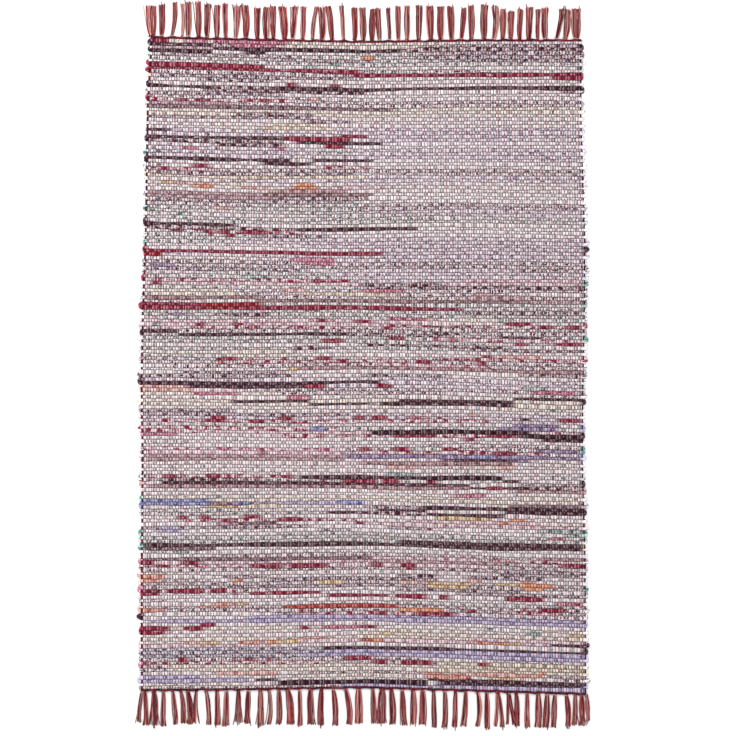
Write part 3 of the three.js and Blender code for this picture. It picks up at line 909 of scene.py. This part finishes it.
NEAR_TUFTS = [
    (142, 140, 139, 4, 723), (145, 146, 146, 5, 726), (154, 154.5, 154.5, 7, 726),
    (163.5, 163.5, 163, 5, 727), (172.5, 174.5, 175.5, 5, 725), (180.5, 183, 183, 5.5, 724),
    (187.5, 190, 190, 6, 725), (196.5, 195, 195, 4.5, 724), (206, 208.5, 208.5, 5, 725),
    (217, 217.5, 217.5, 6, 726), (226.5, 226, 225, 6, 727), (238.5, 238.5, 238, 6, 723),
    (248.5, 248, 247, 6, 724), (260.5, 260.5, 260.5, 6.5, 726), (269, 270.5, 269, 4.5, 725),
    (278.5, 279.5, 278.5, 6, 725), (287.5, 290, 290.5, 7.5, 725), (299.5, 300, 300, 5, 726),
    (310.5, 310.5, 311, 7, 725), (321.5, 320.5, 320.5, 6.5, 726), (333, 335.5, 335, 6, 726),
    (345.5, 349, 349.5, 6, 725), (358.5, 358.5, 359, 8, 724), (372.5, 373.5, 373.5, 5.5, 724),
    (382, 381.5, 381.5, 9, 724), (391, 392.5, 392.5, 6.5, 725), (402, 403, 404.5, 5.5, 726),
    (413, 413.5, 413, 7, 725), (422.5, 423, 422.5, 7.5, 725), (433.5, 434, 434, 5, 728),
    (444.5, 445.5, 444, 5.5, 728), (455.5, 455, 454.5, 5, 728), (465.5, 465, 463, 5.5, 727),
    (477.5, 479.5, 477.5, 5, 727), (486.5, 487, 487, 5.5, 729), (496.5, 496.5, 495.5, 3.5, 727),
    (498, 501, 502, 4.5, 728), (507.5, 508, 507, 3, 725), (509, 511.5, 514.5, 4, 726),
    (516, 517, 517, 5, 727), (527, 527, 527, 5.5, 728), (538, 538.5, 538, 6.5, 728),
    (547, 546.5, 545.5, 6.5, 728), (555, 554, 553.5, 5.5, 728), (566, 568, 568, 5.5, 727),
    (575, 575, 574.5, 5.5, 726), (581.5, 582, 582, 5.5, 726), (586.5, 587.5, 588, 4, 722),
]


def fringe(name, row, outward, tufts):
    """All the yarns of one fringe as one mesh, and a knot round the root of each tuft as another."""
    root, halfway, tip, breadth, tip_height = np.array(tufts, float).T
    root, halfway, tip = ((place - RUG_MIDDLE_PX[0]) * PIXEL_MM for place in (root, halfway, tip))
    left, right = weave_place(row, 0)[0], weave_place(row, 1)[0]
    start = weave_place(row, (root - left) / (right - left))[1] + outward * HEADING_REACH_MM
    end = (RUG_MIDDLE_PX[1] - tip_height) * PIXEL_MM
    half = breadth * PIXEL_MM / 2 - YARN_RADIUS_MM
    counts = np.rint(breadth * WARPS / breadth.sum()).astype(int)
    tuft = np.repeat(np.arange(len(tufts)), counts)
    number = np.arange(len(tuft)) - np.repeat(np.cumsum(counts) - counts, counts)
    own = dice.random(len(tuft))
    place = 2 * number / (counts[tuft] - 1) - 1 + YARN_SHIFT * (own - 0.5)
    share, spread, pile = (np.array(column)[None, :] for column in zip(*YARN_SHAPE))
    line = (root[:, None] * (1 - share) * (1 - 2 * share) + halfway[:, None] * 4 * share * (1 - share)
            + tip[:, None] * share * (2 * share - 1))
    curl = YARN_CURL_MM * share * np.sin(YARN_CURL_TURN * share + 2 * np.pi * own[:, None])
    stray = np.where(dice.random(len(tuft)) < STRAY_SHARE, STRAY_MM * np.sign(place), 0)
    across = line[tuft] + (place * half[tuft])[:, None] * spread + curl + stray[:, None] * share ** 2
    longer = np.where(dice.random(len(tuft)) < LONG_YARN_SHARE, LONG_YARN_MM, 0)
    reach = end[tuft] + outward * (longer - TIP_SCATTER_MM * dice.random(len(tuft)))
    along = start[tuft, None] + (reach - start[tuft])[:, None] * share
    layer = (2 * number) % YARN_LAYERS
    up = YARN_RADIUS_MM + LAYER_STEP_MM * layer[:, None] * pile
    order = linear(FRINGE_YARNS[kind] for kind in WARP_ORDER)
    brightness = DULLEST_YARN + YARN_BRIGHTNESS_RANGE * own
    shades = order[np.arange(len(tuft)) % len(WARP_ORDER)] * brightness[:, None]
    stations = len(YARN_SHAPE)
    add_yarns(name + "_yarns", floor_points(across, along, up), YARN_RADIUS_MM * MM,
              YARNS_IN_STRIP * (stations - 1), np.repeat(shades, stations, axis=0), name)

    turn = np.linspace(-np.pi / 2, np.pi / 2, KNOT_STATIONS)
    slant = KNOT_SLANT_MM * np.sin(turn) * dice.choice((-1, 1), (len(tufts), 1))
    width = (KNOT_BREADTH_SHARE * half + KNOT_RADIUS_MM)[:, None]
    knots = floor_points(root[:, None] + width * np.sin(turn),
                         start[:, None] + outward * (KNOT_REACH_MM + slant),
                         KNOT_RADIUS_MM + KNOT_HEIGHT_MM * np.cos(turn))
    shades = linear(KNOT_YARNS)[dice.integers(len(KNOT_YARNS), size=len(tufts))]
    add_yarns(name + "_knots", knots, KNOT_RADIUS_MM * MM, YARNS_IN_STRIP * (KNOT_STATIONS - 1),
              np.repeat(shades, KNOT_STATIONS, axis=0), name)


fringe("near_fringe", 0, -1, NEAR_TUFTS)
fringe("far_fringe", WEFT_ROWS, 1, FAR_TUFTS)

# The floor, the light and the camera
# The rug lies on a pale floor under soft even light, and the camera looks straight down on it from so
# far that it shows no perspective, as the photograph was put together.
FLOOR_COLOUR = (0.92, 0.92, 0.92, 1)
CAMERA_HEIGHT = 20.0
SENSOR_MM = 36.0
PICTURE_PX = 736
FRAME_BREADTH = PICTURE_PX * PIXEL_MM * MM
PICTURE_MIDDLE_PX = PICTURE_PX / 2
FRAME_MIDDLE = (
    (PICTURE_MIDDLE_PX - RUG_MIDDLE_PX[0]) * PIXEL_MM * MM,
    (RUG_MIDDLE_PX[1] - PICTURE_MIDDLE_PX) * PIXEL_MM * MM,
)

bpy.ops.mesh.primitive_plane_add(size=12, location=(0, 0, -0.0005))
floor = bpy.context.object
floor.name = "floor"
pale, shader, _ = new_material("pale floor", roughness=0.9)
shader.inputs["Base Color"].default_value = FLOOR_COLOUR
floor.data.materials.append(pale)

world = bpy.data.worlds.new("soft room")
bpy.context.scene.world = world
world.use_nodes = True
light = world.node_tree.nodes["Background"].inputs
light["Color"].default_value = (1, 1, 1, 1)
light["Strength"].default_value = 1.0

bpy.ops.object.light_add(type="AREA", location=(-1.5, 2.0, 3.5))
lamp = bpy.context.object
lamp.data.shape = "DISK"
lamp.data.size = 2.0
lamp.data.energy = 80
lamp.rotation_euler = (math.radians(-30), math.radians(-20), 0)

bpy.ops.object.camera_add(location=(*FRAME_MIDDLE, CAMERA_HEIGHT))
camera = bpy.context.object
camera.data.sensor_width = SENSOR_MM
camera.data.lens = SENSOR_MM * CAMERA_HEIGHT / FRAME_BREADTH
camera.data.clip_end = 100
bpy.context.scene.camera = camera
bpy.context.scene.view_settings.view_transform = "Standard"
